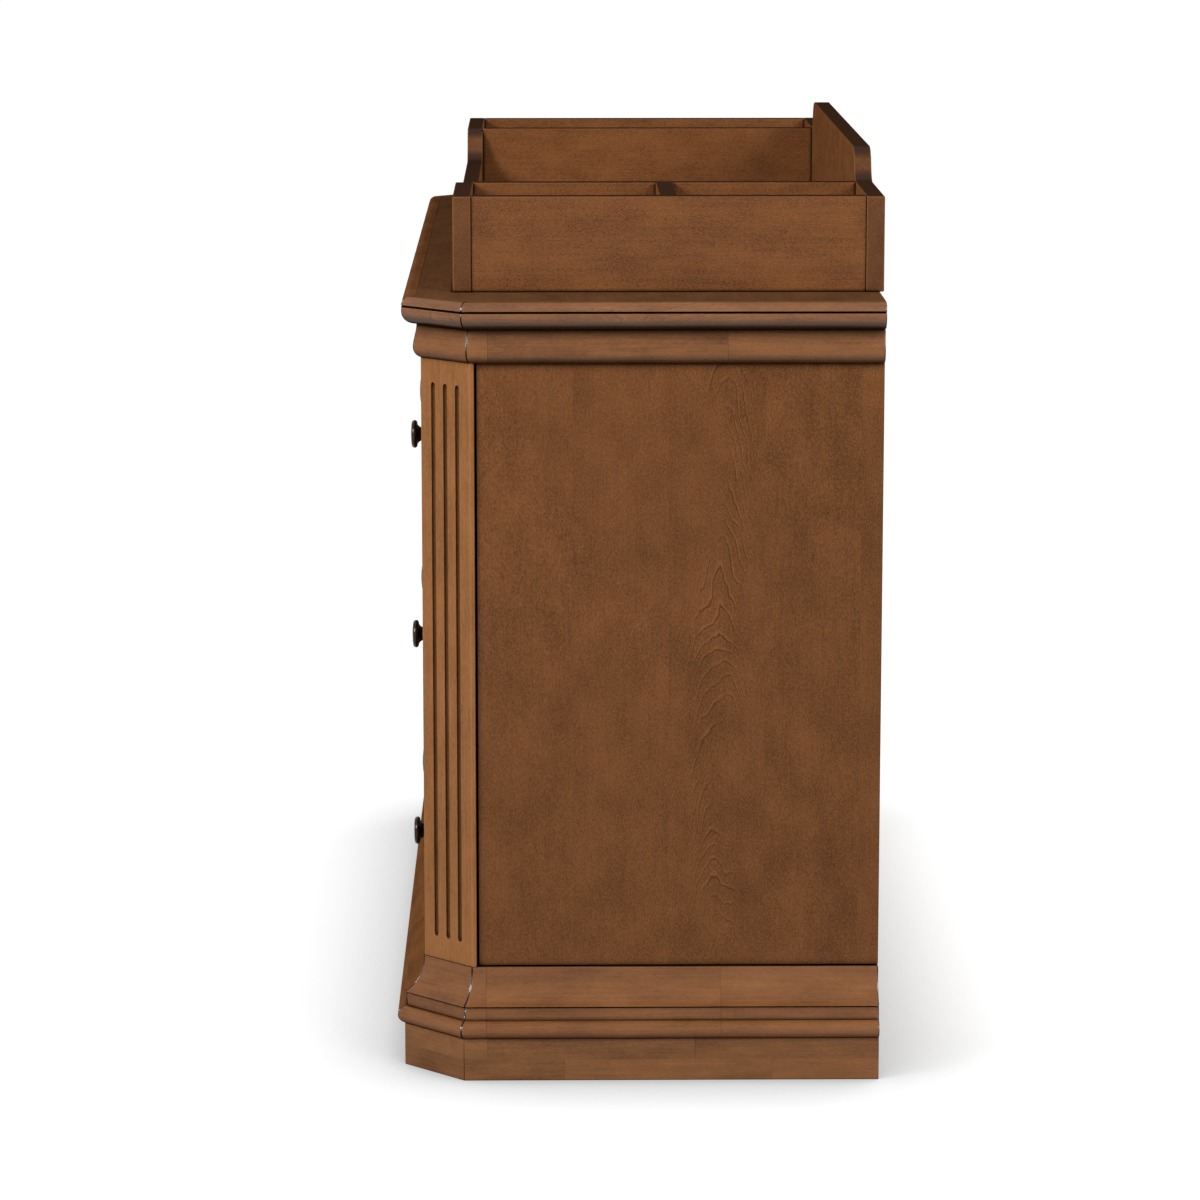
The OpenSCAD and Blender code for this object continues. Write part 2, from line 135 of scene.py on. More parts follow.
def new_material(name: str) -> tuple[bpy.types.Material, Adder]:
    """Makes an empty node material.

    Args:
        name: what the real material is.

    Returns:
        The material, and add_node for its tree.
    """
    material = bpy.data.materials.new(name)
    material.use_nodes = True
    material.node_tree.nodes.clear()
    return material, partial(add_node, material.node_tree)


def seen_directly(add: Adder) -> Socket:
    """Tells the rays that show a surface (camera, mirror and glass rays) from those that light others.

    Args:
        add: add_node for the tree.

    Returns:
        A socket that is 1 for rays that show the surface and 0 for the rest.
    """
    path = add("LightPath")
    shown = add("Math", (path["Is Camera Ray"], path["Is Glossy Ray"]), operation="MAXIMUM")[0]
    return add("Math", (shown, path["Is Transmission Ray"]), operation="MAXIMUM")[0]


# Finishes

class Finish(Protocol):
    """What every finish below has: a name and a way to make its material."""

    name: str

    def material(self) -> bpy.types.Material:
        """Builds the finish as a node material."""


@dataclass(frozen=True)
class StainedHardwood:
    """Close-grained hardwood, chestnut stain wiped on, satin lacquer, with shade painted dark into the
    corners.

    The stain sinks in unevenly, so the eye sees soft blotches, fine specks and, in places, thin arched
    ring lines that stand up a little under the lacquer. Every board starts its pattern elsewhere. End
    grain drinks more stain and is darker. Arrises are rubbed paler, and painted paler still as a
    highlight. The mitres hold dark glaze under a bead of lacquer, which glints where it leans back.
    Shade is painted dark in shut-in corners, on downward faces and, where set, on upward faces.

    The colours and sizes of each pattern are fields. A share says how strongly a pattern changes the
    tone, and a run is a pattern's length along the grain. Rings lie round a heart that is heart_mm
    beside and behind the middle of the face. They sway and waver, by so many rings, and show in
    patches. Staves are blocks glued end to end, in rows.
    """

    name: str = "chestnut_stained_hardwood"
    pale: str = "#94643d"
    middle: str = "#7a4f2e"
    deep: str = "#50321b"
    # Dark glaze held in the mitres, and also the colour of the shade painted in corners and under
    # overhangs.
    glaze_and_shade: str = "#150b06"
    tone_ends: tuple[float, float] = (0.08, 0.92)
    speck_mm: float = 2.0
    speck_run_mm: float = 6.0
    streak_mm: float = 3.0
    streak_run_mm: float = 80.0
    blotch_mm: float = 30.0
    blotch_run_mm: float = 75.0
    ring_mm: float = 5.0
    ring_slope: float = 0.2
    ring_reach_mm: float = 45.0
    heart_mm: tuple[float, float] = (6.0, 14.0)
    waver_mm: tuple[float, float] = (16.0, 9.0)
    waver_rings: float = 0.7
    sway_mm: tuple[float, float] = (110.0, 34.0)
    sway_rings: float = 5.0
    patch_mm: tuple[float, float] = (190.0, 60.0)
    board_shift: tuple[float, float, float] = (3.7, 1.9, 2.3)
    row_stagger: float = 0.37
    board_step: float = 31.0
    speck_share: float = 0.26
    streak_share: float = 0.22
    blotch_share: float = 0.46
    board_share: float = 0.10
    ring_share: float = 0.08
    stave_mm: float = 0.0
    stave_wide_mm: float = 1000.0
    seam_mm: float = 0.0
    row_seam_mm: float = -500.0
    stave_share: float = 0.10
    joint_mm: float = 1.2
    joint_share: float = 0.25
    # Painted shade on faces that look up.
    top_shade: float = 0.0
    satin: float = 0.11
    bead: float = 1.0
    # Painted shade on faces that look down, under overhangs.
    under_shade: float = 0.0
    # How dark the painted shade is in shut-in corners.
    corner_shade: float = 0.97
    mitre_glaze: float = 0.85
    # How much paler the arrises are: part wear, part painted highlight.
    rub_and_highlight: float = 0.35
    # How far the painted corner shade reaches.
    shade_reach_mm: float = 6.0
    relief_mm: float = 0.15
    speck_relief: float = 0.5
    streak_relief: float = 0.3

    def material(self) -> bpy.types.Material:
        """Builds the finish as a node material.

        Returns:
            The material.
        """
        material, add = new_material(self.name)
        grain = add("Attribute", attribute_name="grain")["Vector"]
        board = add("Attribute", attribute_name="board")["Fac"]
        place, block, joint = self.blocks(add, grain, board)
        speck = self.figure(add, place, self.speck_run_mm, self.speck_mm, detail=3.0, rough=0.7)
        streak = self.figure(add, place, self.streak_run_mm, self.streak_mm, detail=3.0)
        blotch = self.figure(add, place, self.blotch_run_mm, self.blotch_mm, detail=4.0, rough=0.58)
        ring = self.rings(add, grain, place)
        # In each row a pattern, the middle of its values, and how far it changes the tone.
        tone = 0.5
        for mark, middle, share in ((blotch, 0.0, self.blotch_share), (streak, 0.0, self.streak_share),
                                    (speck, 0.0, self.speck_share), (board, 0.5, self.board_share / 2),
                                    (block, 0.5, self.stave_share), (ring, 0.0, -self.ring_share),
                                    (joint, 0.0, -self.joint_share / 2)):
            centred = add("Math", (mark, middle), operation="SUBTRACT")[0]
            tone = add("Math", (centred, 2 * share, tone), operation="MULTIPLY_ADD")[0]
        stain = add("ValToRGB", (tone,))[0]
        ends = stain.node.color_ramp.elements
        ends[0].color, ends[0].position = linear(self.deep), self.tone_ends[0]
        ends[1].color, ends[1].position = linear(self.pale), self.tone_ends[1]
        ends.new(0.5).color = linear(self.middle)
        colour, coat = self.finished(add, stain)
        height = 0.0
        for mark, share in ((speck, self.speck_relief), (streak, self.streak_relief), (ring, -1.0)):
            height = add("Math", (mark, share, height), operation="MULTIPLY_ADD")[0]
        relief = add("Bump", {"Strength": 0.3, "Distance": self.relief_mm * MM, "Height": height})[0]
        # A strong, thin coat with no sheen under it: lacquer over matt stain.
        shader = add("BsdfPrincipled", {
            "Base Color": colour, "Roughness": 0.6, "Normal": relief, "Specular IOR Level": 0.0,
            "Coat Weight": coat, "Coat Roughness": 0.2, "Coat IOR": 2.0, "Coat Normal": relief})[0]
        add("OutputMaterial", (shader,))
        return material

    def blocks(self, add: Adder, grain: Socket,
               board: Socket) -> tuple[Socket, Socket | float, Socket | float]:
        """Starts the pattern elsewhere on every board and, in blocked boards, in every block.

        Args:
            add: add_node for the tree.
            grain: place along, across and through the board.
            board: the board's random number.

        Returns:
            The place in the pattern, the block's random tone, and 1 on the joints between blocks.
        """
        shift = add("VectorMath", (board, self.board_shift), operation="MULTIPLY")[0]
        tone = 0.5
        joint = 0.0
        if self.stave_mm:
            along, across, _ = add("SeparateXYZ", (grain,))
            first_row = -self.row_seam_mm / self.stave_wide_mm
            row = add("Math", (across, per_mm(self.stave_wide_mm)[0], first_row),
                      operation="MULTIPLY_ADD")[0]
            row = add("Math", (row,), operation="FLOOR")[0]
            stagger = add("Math", (row, self.row_stagger), operation="MULTIPLY")[0]
            past_seam = add("Math", (along, self.seam_mm * MM), operation="SUBTRACT")[0]
            count = add("Math", (past_seam, per_mm(self.stave_mm)[0], stagger),
                        operation="MULTIPLY_ADD")[0]
            whole = add("Math", (count,), operation="FLOOR")[0]
            step = add("Math", (board, self.board_step), operation="MULTIPLY")[0]
            number = add("CombineXYZ", (whole, row, step))[0]
            draw = add("TexWhiteNoise", {"Vector": number}, noise_dimensions="3D")
            tone = draw["Value"]
            shift = add("VectorMath", (shift, draw["Color"]), operation="ADD")[0]
            part = add("Math", (count,), operation="FRACT")[0]
            joint = add("MapRange", (part, 0.0, self.joint_mm / self.stave_mm, 1.0, 0.0),
                        interpolation_type="SMOOTHSTEP")[0]
        return add("VectorMath", (grain, shift), operation="ADD")[0], tone, joint

    @staticmethod
    def figure(add: Adder, place: Socket, run_mm: float, size_mm: float, detail: float,
               rough: float = 0.5) -> Socket:
        """Lays a random figure drawn out along the grain.

        Args:
            add: add_node for the tree.
            place: the place in the pattern.
            run_mm: length of a feature along the board.
            size_mm: its width.
            detail: how many finer layers lie on it.
            rough: how strong they are.

        Returns:
            The figure's tone, round 0.
        """
        scaled = add("VectorMath", (place, per_mm(run_mm, size_mm, size_mm)), operation="MULTIPLY")[0]
        settings = {"Vector": scaled, "Scale": 1.0, "Detail": detail, "Roughness": rough}
        made = add("TexNoise", settings)["Fac"]
        return add("Math", (made, 0.5), operation="SUBTRACT")[0]

    def rings(self, add: Adder, grain: Socket, place: Socket) -> Socket:
        """Draws year rings round the tree's heart. Their slope makes them run out as arches.

        Args:
            add: add_node for the tree.
            grain: place along, across and through the board.
            place: the place in the pattern.

        Returns:
            1 on a ring's dark line, less than 0 on its pale one, and 0 elsewhere.
        """
        along, across, through = add("SeparateXYZ", (grain,))
        beside = add("Math", (across, self.heart_mm[0] * MM), operation="SUBTRACT")[0]
        behind = add("Math", (through, self.heart_mm[1] * MM), operation="ADD")[0]
        square = add("Math", (behind, behind), operation="MULTIPLY")[0]
        square = add("Math", (beside, beside, square), operation="MULTIPLY_ADD")[0]
        away = add("Math", (square,), operation="SQRT")[0]
        sloped = add("Math", (along, self.ring_slope, away), operation="MULTIPLY_ADD")[0]
        turns = add("Math", (sloped, per_mm(self.ring_mm)[0]), operation="MULTIPLY")[0]
        for sizes, share in ((self.waver_mm, self.waver_rings), (self.sway_mm, self.sway_rings)):
            waver = self.figure(add, place, *sizes, detail=1.0)
            turns = add("Math", (waver, share, turns), operation="MULTIPLY_ADD")[0]
        phase = add("Math", (turns,), operation="FRACT")[0]
        beside = add("Math", (beside,), operation="ABSOLUTE")[0]
        patch = self.figure(add, place, *self.patch_mm, detail=1.0)
        reach = self.ring_reach_mm * MM
        # In each row a value, the ends of its range, and what it becomes at the low end.
        dark_in, dark_out, pale_in, pale_out, near, patchy = (
            add("MapRange", (value, low, high, start, 1.0 - start), interpolation_type="SMOOTHSTEP")[0]
            for value, low, high, start in (
                (phase, 0.0, 0.05, 0.0), (phase, 0.06, 0.18, 1.0), (phase, 0.12, 0.2, 0.0),
                (phase, 0.2, 0.4, 1.0), (beside, 0.4 * reach, reach, 1.0), (patch, -0.06, 0.08, 0.0)))
        dark, pale, shown = (add("Math", pair, operation="MULTIPLY")[0]
                             for pair in ((dark_in, dark_out), (pale_in, pale_out), (near, patchy)))
        line = add("Math", (pale, -0.6, dark), operation="MULTIPLY_ADD")[0]
        return add("Math", (line, shown), operation="MULTIPLY")[0]

    def finished(self, add: Adder, stain: Socket) -> tuple[Socket, Socket]:
        """Soaks the end grain, rubs the arrises and paints highlight on them, glazes the mitres, paints
        shade in corners, under overhangs and on upward faces, and lacquers the stained wood.

        Args:
            add: add_node for the tree.
            stain: the stain's colour.

        Returns:
            The finished colour and the coat's weight.
        """
        arris = add("Attribute", attribute_name="arris")["Fac"]
        soak = add("Attribute", attribute_name="soak")["Fac"]
        up = add("SeparateXYZ", (add("NewGeometry")["Normal"],))[2]
        # Occlusion: how much of the room a spot sees. It drives the shade painted in corners.
        open_sky = add("AmbientOcclusion", {"Distance": self.shade_reach_mm * MM}, samples=8)["AO"]
        facing = add("LayerWeight", {"Blend": 0.5})["Facing"]
        rubbed = add("Math", (arris, 0.0), operation="MAXIMUM")[0]
        mitre = add("Math", (arris, -1.0), operation="MULTIPLY")[0]
        mitre = add("Math", (mitre, 0.0), operation="MAXIMUM")[0]
        # In each row a value, the ends of its range, and what they become.
        # top and under paint shade on faces that look up or down, and corner paints shade in shut-in
        # corners.
        top, corner, under, leaning, not_up, head_on, coat_outside_shade = (
            add("MapRange", values, interpolation_type="SMOOTHSTEP")[0] for values in (
                (up, 0.35, 0.85, 0.0, self.top_shade), (open_sky, 0.5, 1.0, self.corner_shade, 0.0),
                (up, -0.85, 0.05, self.under_shade, 0.0), (up, 0.02, 0.2, -self.satin, self.bead),
                (up, 0.5, 0.7, 1.0, 0.0), (facing, 0.55, 0.82, 1.0, 0.0), (open_sky, 0.6, 0.95, 0.0, 1.0)))
        # End grain soaked darker by stain, and painted shade on faces that look up.
        soak = add("Math", (soak, top), operation="MAXIMUM")[0]
        # Arrises paler from wear, and a painted highlight on them.
        rubbed = add("Math", (rubbed, self.rub_and_highlight), operation="MULTIPLY")[0]
        # The mitres' real dark glaze, joined by shade painted in corners and on downward faces.
        in_mitre = add("Math", (mitre, self.mitre_glaze), operation="MULTIPLY")[0]
        glazed_and_shaded = add("Math", (corner, in_mitre), operation="MAXIMUM")[0]
        glazed_and_shaded = add("Math", (glazed_and_shaded, under), operation="MAXIMUM")[0]
        colour = stain
        for share, over in ((soak, self.deep), (rubbed, self.pale), (glazed_and_shaded, self.glaze_and_shade)):
            colour = add("Mix", {0: share, 6: colour, 7: linear(over)}, data_type="RGBA")[2]
        bead = add("Math", (leaning, not_up), operation="MULTIPLY")[0]
        coat = add("Math", (mitre, bead, self.satin), operation="MULTIPLY_ADD")[0]
        # The coat fades toward grazing angles, where it would turn white, and in shut-in corners, so the
        # painted shade there stays dark.
        for share in (head_on, coat_outside_shade):
            coat = add("Math", (coat, share), operation="MULTIPLY")[0]
        return colour, coat


@dataclass(frozen=True)
class OilRubbedBronze:
    """Turned brass, blackened and oiled: near black and glossy, with brown metal showing on the rims."""

    name: str = "oil_rubbed_bronze"
    black: str = "#24211f"
    worn: str = "#43352b"
    roughness: tuple[float, float] = (0.13, 0.25)
    cloud_mm: float = 7.0

    def material(self) -> bpy.types.Material:
        """Builds the finish as a node material.

        Returns:
            The material.
        """
        material, add = new_material(self.name)
        place = add("TexCoord")["Object"]
        cloud = add("TexNoise", {"Vector": place, "Scale": per_mm(self.cloud_mm)[0], "Detail": 4.0})["Fac"]
        wear = add("Attribute", attribute_name="wear")["Fac"]
        rubbed = add("Math", (wear, cloud), operation="MULTIPLY")[0]
        colour = add("Mix", {0: rubbed, 6: linear(self.black), 7: linear(self.worn)}, data_type="RGBA")[2]
        rough = add("MapRange", (cloud, 0.3, 0.7, *self.roughness))[0]
        shader = add("BsdfPrincipled", {"Base Color": colour, "Metallic": 0.85, "Roughness": rough})[0]
        add("OutputMaterial", (shader,))
        return material


@dataclass(frozen=True)
class ZincPlatedSteel:
    """Rolled steel strip with bright zinc: grey, faintly streaked along the rolling direction."""

    name: str = "zinc_plated_steel"
    dull: str = "#8e9194"
    bright: str = "#b9bcbe"
    roughness: tuple[float, float] = (0.26, 0.46)
    streak_mm: float = 0.9
    streak_run_mm: float = 80.0

    def material(self) -> bpy.types.Material:
        """Builds the finish as a node material.

        Returns:
            The material.
        """
        material, add = new_material(self.name)
        place = add("TexCoord")["Object"]
        scales = per_mm(self.streak_mm, self.streak_run_mm, self.streak_mm)
        scaled = add("VectorMath", (place, scales), operation="MULTIPLY")[0]
        streak = add("TexNoise", {"Vector": scaled, "Scale": 1.0, "Detail": 3.0})["Fac"]
        colour = add("Mix", {0: streak, 6: linear(self.dull), 7: linear(self.bright)}, data_type="RGBA")[2]
        rough = add("MapRange", (streak, 0.0, 1.0, *self.roughness))[0]
        shader = add("BsdfPrincipled", {"Base Color": colour, "Metallic": 1.0, "Roughness": rough})[0]
        add("OutputMaterial", (shader,))
        return material


@dataclass(frozen=True)
class PaintedFloor:
    """Matt studio floor that the camera sees as white, with a soft shadow painted where the dresser shuts
    out the room.
    """

    name: str = "matt_studio_floor"
    paint: str = "#a8a8a8"
    painted_shadow_reach: float = 0.2
    lit_share: float = 0.12

    def material(self) -> bpy.types.Material:
        """Builds the floor's material.

        Returns:
            The material.
        """
        material, add = new_material(self.name)
        matt = add("BsdfDiffuse", {"Color": linear(self.paint)})[0]
        # Painted shadow: the white the camera sees is dimmed by occlusion round the dresser.
        open_sky = add("AmbientOcclusion", {"Distance": self.painted_shadow_reach}, samples=16)["AO"]
        white = add("Emission", {"Color": (1, 1, 1, 1), "Strength": open_sky})[0]
        lit = add("BsdfDiffuse", {"Color": (self.lit_share,) * 3 + (1,)})[0]
        shown = add("AddShader", (white, lit))[0]
        mixed = add("MixShader", (seen_directly(add), matt, shown))[0]
        add("OutputMaterial", (mixed,))
        return material


# Case boards and drawer fronts: plain boards, wiped evenly.
CASE_STOCK = StainedHardwood(pale="#8c5e3a", middle="#744a2b", deep="#4c2f1a")
# The top's edging: the same boards with more lacquer, so a soft sheen, and shade painted dark under its
# nose.
EDGE_STOCK = replace(CASE_STOCK, name="chestnut_stained_edging", satin=0.27, under_shade=0.85,
                     shade_reach_mm=9.0)
# Side panels: veneer with finely speckled, cloudy stain and one arched heart figure that stands up.
PANEL_VENEER = StainedHardwood(
    name="chestnut_stained_veneer", pale="#805231", middle="#694225", deep="#4a2e18",
    speck_mm=1.4, speck_run_mm=2.4, speck_share=0.85, streak_share=0.12, blotch_mm=46.0,
    blotch_run_mm=62.0, blotch_share=0.42, heart_mm=(46.0, 14.0), ring_share=0.3, board_share=0.0,
    stave_mm=3000.0, seam_mm=-1500.0, stave_wide_mm=105.0, row_seam_mm=-11.0, stave_share=0.03, satin=0.04,
    shade_reach_mm=11.0)
# Base moulding: blocks glued end to end, which show as faint changes of tone with a thin joint line.
BLOCK_STOCK = StainedHardwood(
    name="chestnut_stained_blocks", pale="#8f603b", middle="#774c2c", deep="#4e311b",
    stave_mm=260.0, seam_mm=-204.0, stave_share=0.05, ring_share=0.02, satin=0.15)
# Crown: the same blocks, with shade painted dark, and wide, in the hollow under the top.
CROWN_STOCK = replace(BLOCK_STOCK, name="chestnut_stained_crown_blocks", under_shade=0.45,
                      shade_reach_mm=18.0)
# Plinth: short, narrow blocks in two rows, which show as a patchwork of tones.
PLINTH_STOCK = StainedHardwood(
    name="chestnut_stained_plinth_blocks", pale="#8f5f3a", middle="#774e2e", deep="#4e311b",
    stave_mm=230.0, stave_wide_mm=24.0, seam_mm=-204.0, row_seam_mm=0.0, stave_share=0.14, ring_share=0.02,
    shade_reach_mm=1.5)
# Corner posts: one piece each, paler and more orange, with shade painted dark in the flutes.
POST_STOCK = StainedHardwood(
    name="chestnut_stained_posts", pale="#9e6b42", middle="#8b5c36", deep="#684424",
    speck_share=0.36, ring_share=0.02, blotch_share=0.34, streak_share=0.18, satin=0.06,
    shade_reach_mm=8.0)
# Top board: dark, even and matt.
TOP_STOCK = StainedHardwood(
    name="chestnut_stained_top", pale="#735036", middle="#67452c", deep="#543822",
    satin=0.0, board_share=0.0)
# Tray: finely speckled, with shade painted dark on the upward faces of its upper edges.
TRAY_STOCK = StainedHardwood(
    name="chestnut_stained_tray", pale="#8c5c38", middle="#734829", deep="#38251a",
    speck_mm=1.3, speck_run_mm=2.8, speck_share=0.6, streak_share=0.12, blotch_mm=36.0, blotch_run_mm=60.0,
    blotch_share=0.3, top_shade=0.95, ring_share=0.03, satin=0.06, shade_reach_mm=5.0)
# Inside: birch, clear sealed, so pale and warm, with a brown shade painted into its inside corners.
INNER_STOCK = StainedHardwood(
    name="clear_sealed_birch", pale="#dcb98b", middle="#cfa677", deep="#a97f52", glaze_and_shade="#6b4c30",
    blotch_share=0.3, ring_share=0.16)


class Slot(Enum):
    """The record's material slots."""

    STAINED = "stained_wood"
    INNER = "inner_wood"
    BRONZE = "knob_bronze"
    STEEL = "runner_steel"


# The material of each finish made so far.
_made: dict[str, bpy.types.Material] = {}


def finish_material(finish: Finish) -> bpy.types.Material:
    """Builds a finish once and gives the same material every time.

    Args:
        finish: one of the finish dataclasses above.

    Returns:
        Its material.
    """
    if finish.name not in _made:
        _made[finish.name] = finish.material()
    return _made[finish.name]


# Boards

def islands(bm: bmesh.types.BMesh) -> list[list[bmesh.types.BMVert]]:
    """Splits a mesh into its separate solids.

    Args:
        bm: the mesh.

    Returns:
        The vertices of each solid, sorted by place so that the order is the same each run.
    """
    left = set(bm.verts)
    found = []
    for start in bm.verts:
        if start not in left:
            continue
        left.discard(start)
        group, queue = [start], [start]
        while queue:
            for edge in queue.pop().link_edges:
                for vert in edge.verts:
                    if vert in left:
                        left.discard(vert)
                        group.append(vert)
                        queue.append(vert)
        found.append(group)

    def middle(group: list[bmesh.types.BMVert]) -> tuple[float, float, float]:
        """Gives a solid's mean corner, rounded, as a sorting key."""
        total = sum((v.co for v in group), Vector())
        return tuple(round(c / len(group), 4) for c in total)

    return sorted(found, key=middle)


def board_axes(group: list[bmesh.types.BMVert]) -> tuple[Vector, Vector, Vector]:
    """Finds how a board lies: its grain follows its longest edge.

    Args:
        group: the solid's vertices.

    Returns:
        Unit vectors along the board, across its wide face and through it.
    """
    def length_and_place(edge: bmesh.types.BMEdge) -> tuple[float, list[float], list[tuple]]:
        """Gives an edge's length and, for edges of one length, its place, so that no two tie."""
        ends = sorted((vert.co.z, vert.co.x, vert.co.y) for vert in edge.verts)
        return round(edge.calc_length(), 5), [end[0] for end in ends], ends

    edges = {edge for vert in group for edge in vert.link_edges}
    longest = max(edges, key=length_and_place)
    along = (longest.verts[1].co - longest.verts[0].co).normalized()
    if max(along, key=abs) < 0:
        along.negate()
    if abs(along.z) > UPRIGHT:
        choices = (Vector((0, 1, 0)), Vector((1, 0, 0)))
    else:
        choices = (Vector((0, 0, 1)), along.cross(Vector((0, 0, 1))).normalized())

    def extent(axis: Vector) -> float:
        """Gives the solid's reach along an axis."""
        spots = [v.co.dot(axis) for v in group]
        return max(spots) - min(spots)

    wide, thin = sorted(choices, key=extent, reverse=True)
    return along, wide, thin


@dataclass
class Timber:
    """The boards of one CAD node, with eased arrises and grain along each.

    A share tells how far a face looks the same way as the board's length, or as the face beside it.
    """

    node: str
    finish: StainedHardwood
    slot: Slot = Slot.STAINED
    ease_mm: float = 0.8
    shortest_mm: float = 2.5
    ease_steps: int = 2
    mitre_ease_mm: float = 0.0
    sharp_deg: float = 50.0
    corner_deg: float = 30.0
    flat_deg: float = 0.6
    end_soak: float = 0.4
    mitre_share: float = 0.5
    curve_share: float = 0.85
    soak_share: float = 0.6
    soak_over: float = 0.35

    def eased_edges(self, bm: bmesh.types.BMesh) -> list[bmesh.types.BMEdge]:
        """Picks the edges to ease.

        Args:
            bm: the boards' mesh.

        Returns:
            Outer edges sharper than corner_deg, and long and wide enough to take the rounding.
        """
        picked = []
        for edge in bm.edges:
            if not edge.is_manifold or not edge.is_convex or edge.calc_length() < self.shortest_mm * MM:
                continue
            # Flutes and small rounds are made of narrow faces, which the rounding would use up.
            width = min(face.calc_area() for face in edge.link_faces) / edge.calc_length()
            if width < 2 * self.ease_mm * MM:
                continue
            if edge.calc_face_angle(0.0) >= math.radians(self.corner_deg):
                picked.append(edge)
        return picked

    def ease(self, bm: bmesh.types.BMesh, edges: list[bmesh.types.BMEdge], radius_mm: float,
             arris: bmesh.types.BMLayerItem, mark: float) -> None:
        """Rounds edges and marks the new faces.

        Args:
            bm: the boards' mesh.
            edges: the edges to round.
            radius_mm: how far the rounding reaches into the faces beside an edge.
            arris: the face layer that marks rounded edges.
            mark: 1 for edges rubbed pale, which also get a painted highlight, -1 for mitres that hold the
                dark glaze.
        """
        eased = bmesh.ops.bevel(bm, geom=edges, offset=radius_mm * MM, offset_type="OFFSET",
                                segments=self.ease_steps, profile=0.5, affect="EDGES", clamp_overlap=False)
        for face in eased["faces"]:
            face[arris] = mark

    @staticmethod
    def halfway(group: list[bmesh.types.BMVert], axis: Vector) -> float:
        """Finds the middle of a solid's reach along an axis.

        Args:
            group: the solid's vertices.
            axis: a unit vector.

        Returns:
            The distance of the middle from the origin, along the axis.
        """
        spots = [vert.co.dot(axis) for vert in group]
        return (min(spots) + max(spots)) / 2

    def round_edges(self, bm: bmesh.types.BMesh) -> None:
        """Rounds the mitres first, where they have a size of their own, and then the other edges.

        Args:
            bm: the boards' mesh.
        """
        arris = bm.faces.layers.float.new("arris")
        if self.mitre_ease_mm:
            ends = set()
            for group in islands(bm):
                along = board_axes(group)[0]
                ends.update(face for vert in group for face in vert.link_faces
                            if abs(face.normal.dot(along)) > self.mitre_share)
            mitres = [edge for edge in self.eased_edges(bm) if not ends.isdisjoint(edge.link_faces)]
            self.ease(bm, mitres, self.mitre_ease_mm, arris, -1.0)
        others = [edge for edge in self.eased_edges(bm)
                  if not any(face[arris] for face in edge.link_faces)]
        self.ease(bm, others, self.ease_mm, arris, 1.0)

    def lay_grain(self, bm: bmesh.types.BMesh) -> None:
        """Writes each board's grain, its random tone and how far its end grain soaks up stain.

        Args:
            bm: the boards' mesh.
        """
        grain = bm.verts.layers.float_vector.new("grain")
        tone = bm.verts.layers.float.new("board")
        soak = bm.loops.layers.float.new("soak")
        for number, group in enumerate(islands(bm)):
            along, wide, thin = board_axes(group)
            centre = sum((axis * self.halfway(group, axis) for axis in (along, wide, thin)), Vector())
            draw = random.Random(f"{self.node} {number}").random()
            for vert in group:
                offset = vert.co - centre
                vert[grain] = Vector((offset.dot(along), offset.dot(wide), offset.dot(thin)))
                vert[tone] = draw
                for loop in vert.link_loops:
                    # Curved faces share a mean direction, so that the soaked end grain starts softly.
                    mean = sum((face.normal for face in vert.link_faces
                                if face.normal.dot(loop.face.normal) > self.curve_share),
                               Vector()).normalized()
                    depth = (abs(mean.dot(along)) - self.soak_share) / self.soak_over
                    loop[soak] = self.end_soak * min(max(depth, 0.0), 1.0)

    def piece(self) -> bpy.types.Object:
        """Cuts the boards from the frame's node and finishes them.

        Returns:
            The piece, riding on the node's body in the node's stead.
        """
        bm = bmesh.new()
        bm.from_mesh(frame["nodes"][self.node].data)
        # The node's mesh comes in triangles. Flat faces are put together again, so the bevel can run.
        bmesh.ops.remove_doubles(bm, verts=bm.verts, dist=WELD)
        bmesh.ops.dissolve_limit(bm, angle_limit=math.radians(self.flat_deg), verts=bm.verts,
                                 edges=bm.edges)
        bmesh.ops.recalc_face_normals(bm, faces=bm.faces)
        self.round_edges(bm)
        self.lay_grain(bm)
        for face in bm.faces:
            face.material_index = 0
        made = smooth_object(bm, self.node + "_boards", self.finish, self.sharp_deg)
        weigh = made.modifiers.new("flat_faces_stay_flat", "WEIGHTED_NORMAL")
        weigh.keep_sharp = True
        return place_piece(made, self.node, self.slot)


def smooth_object(bm: bmesh.types.BMesh, name: str, finish: Finish, sharp_deg: float) -> bpy.types.Object:
    """Turns a mesh into a finished object with smooth faces and sharp corners.

    Args:
        bm: the mesh, which is used up.
        name: of the object.
        finish: its finish.
        sharp_deg: corners sharper than this stay sharp.

    Returns:
        The object.
    """
    for face in bm.faces:
        face.smooth = True
    mesh = bpy.data.meshes.new(name)
    bm.to_mesh(mesh)
    bm.free()
    mesh.set_sharp_from_angle(angle=math.radians(sharp_deg))
    mesh.materials.append(finish_material(finish))
    made = bpy.data.objects.new(name, mesh)
    bpy.context.scene.collection.objects.link(made)
    return made


def place_piece(made: bpy.types.Object, node: str, slot: Slot) -> bpy.types.Object:
    """Puts a piece on its body in its node's stead.

    Args:
        made: the new piece, in place.
        node: the CAD node that it stands for.
        slot: the record's slot for its finish; not used.

    Returns:
        The same piece.
    """
    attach(made, frame["nodes"][node]["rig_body"])
    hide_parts(node)
    return made


# Sub-assemblies

@dataclass
class Top:
    """The top board and its grooved, mitred edging."""

    board_ease_mm: float = 0.5
    edging_ease_mm: float = 0.5
    mitre_ease_mm: float = 0.9

    def build(self) -> Iterable[bpy.types.Object]:
        """Dresses the top, one piece after the other."""
        yield Timber("top_panel", TOP_STOCK, ease_mm=self.board_ease_mm).piece()
        yield Timber("top_edging", EDGE_STOCK, ease_mm=self.edging_ease_mm, shortest_mm=1.1,
                     mitre_ease_mm=self.mitre_ease_mm).piece()


